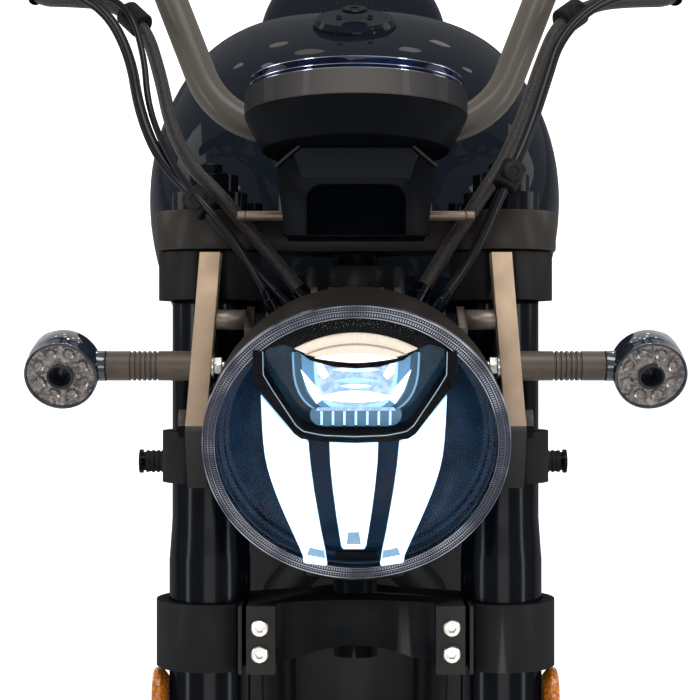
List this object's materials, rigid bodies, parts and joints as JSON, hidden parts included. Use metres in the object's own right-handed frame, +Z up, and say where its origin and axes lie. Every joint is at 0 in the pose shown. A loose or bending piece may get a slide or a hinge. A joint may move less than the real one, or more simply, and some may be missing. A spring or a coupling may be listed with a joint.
{
  "type": "electric cafe racer motorcycle",
  "caption": "Electric cafe racer motorcycle on its centre stand, with a round headlamp on fork stays, a low handlebar, a long tank, a cowled seat and belt drive to a cast rear wheel.",
  "frame": {"origin": "on the floor, midway between the front of the front tyre and the back of the rear tyre, on the centre plane", "axes": "+X to the rider's left, +Y towards the rear, +Z up; the machine faces -Y"},
  "size_m": [0.7892, 2.0085, 1.2889],
  "materials": {
    "gloss_black": "gloss, deep black lacquer with a clear coat",
    "frame_black": "satin black powder coat",
    "anodised_black": "satin black anodising",
    "cast_grey": "cast, satin, warm dark grey",
    "cast_black": "cast, fine-grained satin black",
    "machined": "fine machined, satin",
    "hard_chrome": "polished",
    "steel": "ground, bright on the swept band",
    "zinc_steel": "zinc plated",
    "rubber": "matt, moulded",
    "tyre": "matt, faintly worn crown",
    "belt": "matt, toothed inside",
    "black_plastic": "fine leather grain, satin",
    "gloss_plastic": "glossy black",
    "lamp_glass": "clear, faint blue",
    "gauge_glass": "black display glass, polished",
    "optics": "dark navy dish with white light bars",
    "amber": "prismatic amber",
    "red_lens": "translucent red",
    "seat_cover": "black, stitched in ribs"
  },
  "bodies": {
    "chassis": {"main_frame": "frame_black", "battery_case": "cast_black", "motor": "cast_black", "swingarm": "frame_black", "shock_absorbers": "hard_chrome", "tank": "gloss_black", "seat": "seat_cover", "tail_cowl": "gloss_black", "tail_lamp": "red_lens", "rear_mudguard": "black_plastic", "rear_indicators": "gloss_plastic", "foot_rests": "machined", "drive_belt": "belt", "rear_calliper": "anodised_black", "rear_axle": "zinc_steel"},
    "fork": {"fork_outer_tubes": "anodised_black", "fork_inner_tubes": "hard_chrome", "front_axle": "zinc_steel", "lower_yoke": "cast_black", "upper_yoke": "cast_black", "lamp_stays": "cast_grey", "headlamp_shell": "gloss_plastic", "headlamp_lens": "lamp_glass", "headlamp_optics": "optics", "front_indicators": "gloss_plastic", "gauge_bracket": "black_plastic", "gauge_cup": "black_plastic", "gauge_glass": "gauge_glass", "handlebar": "frame_black", "grips": "rubber", "switch_pods": "black_plastic", "brake_levers": "anodised_black", "mirrors": "gloss_plastic", "control_hoses": "rubber", "front_mudguard": "black_plastic", "front_calliper": "anodised_black", "fork_reflectors": "amber"},
    "front_wheel": {"front_rim": "cast_black", "front_tyre": "tyre", "front_disc": "steel"},
    "rear_wheel": {"rear_rim": "cast_black", "rear_tyre": "tyre", "rear_disc": "steel", "rear_pulley": "machined"},
    "stand": {"centre_stand": "frame_black"}
  },
  "joints": [
    {"name": "steering", "type": "hinge", "parent": "chassis", "child": "fork", "pos_m": [0, -0.43819, 0.80598], "axis": [0, 0.4226, 0.9063], "range_deg": [-30, 30]},
    {"name": "front_wheel_spin", "type": "hinge", "parent": "fork", "child": "front_wheel", "pos_m": [0, -0.7105, 0.293], "axis": [1, 0, 0], "continuous": true},
    {"name": "rear_wheel_spin", "type": "hinge", "parent": "chassis", "child": "rear_wheel", "pos_m": [0, 0.6895, 0.334], "axis": [1, 0, 0], "continuous": true},
    {"name": "centre_stand_fold", "type": "hinge", "parent": "chassis", "child": "stand", "pos_m": [0, 0.15, 0.23], "axis": [1, 0, 0], "range_deg": [0, 80]}
  ]
}
